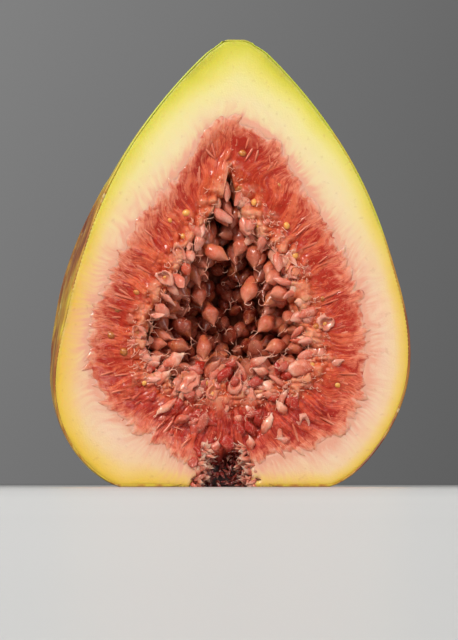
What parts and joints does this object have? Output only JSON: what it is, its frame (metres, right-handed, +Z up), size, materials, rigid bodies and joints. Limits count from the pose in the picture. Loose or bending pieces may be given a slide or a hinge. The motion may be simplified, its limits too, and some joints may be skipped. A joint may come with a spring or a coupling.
{
  "type": "fresh fig half",
  "caption": "Fresh ripe fig cut in half from stem tip to eye, standing on its flattened eye end with the red pulp and its hollow open to the front.",
  "frame": {"origin": "middle of the footprint's bounding box, at the height of the flat base", "axes": "+Z up from the eye end to the stem tip, -Y out of the cut face, +X to the right as the cut face is looked at"},
  "size_m": [0.0522, 0.031, 0.064],
  "materials": {
    "fig_flesh": "pale cream flesh, moist, yellow-green at the skin and pink at the pulp",
    "fig_skin": "thin satin skin, yellow-green at the neck with a red-brown blush and fine ribs",
    "fig_pulp": "wet red pulp of fine radial stalks and pointed florets, mauve-brown inside the hollow",
    "fig_seed": "small wet golden-yellow seeds"
  },
  "bodies": {
    "root": {"fig_half": "fig_flesh"}
  },
  "joints": []
}
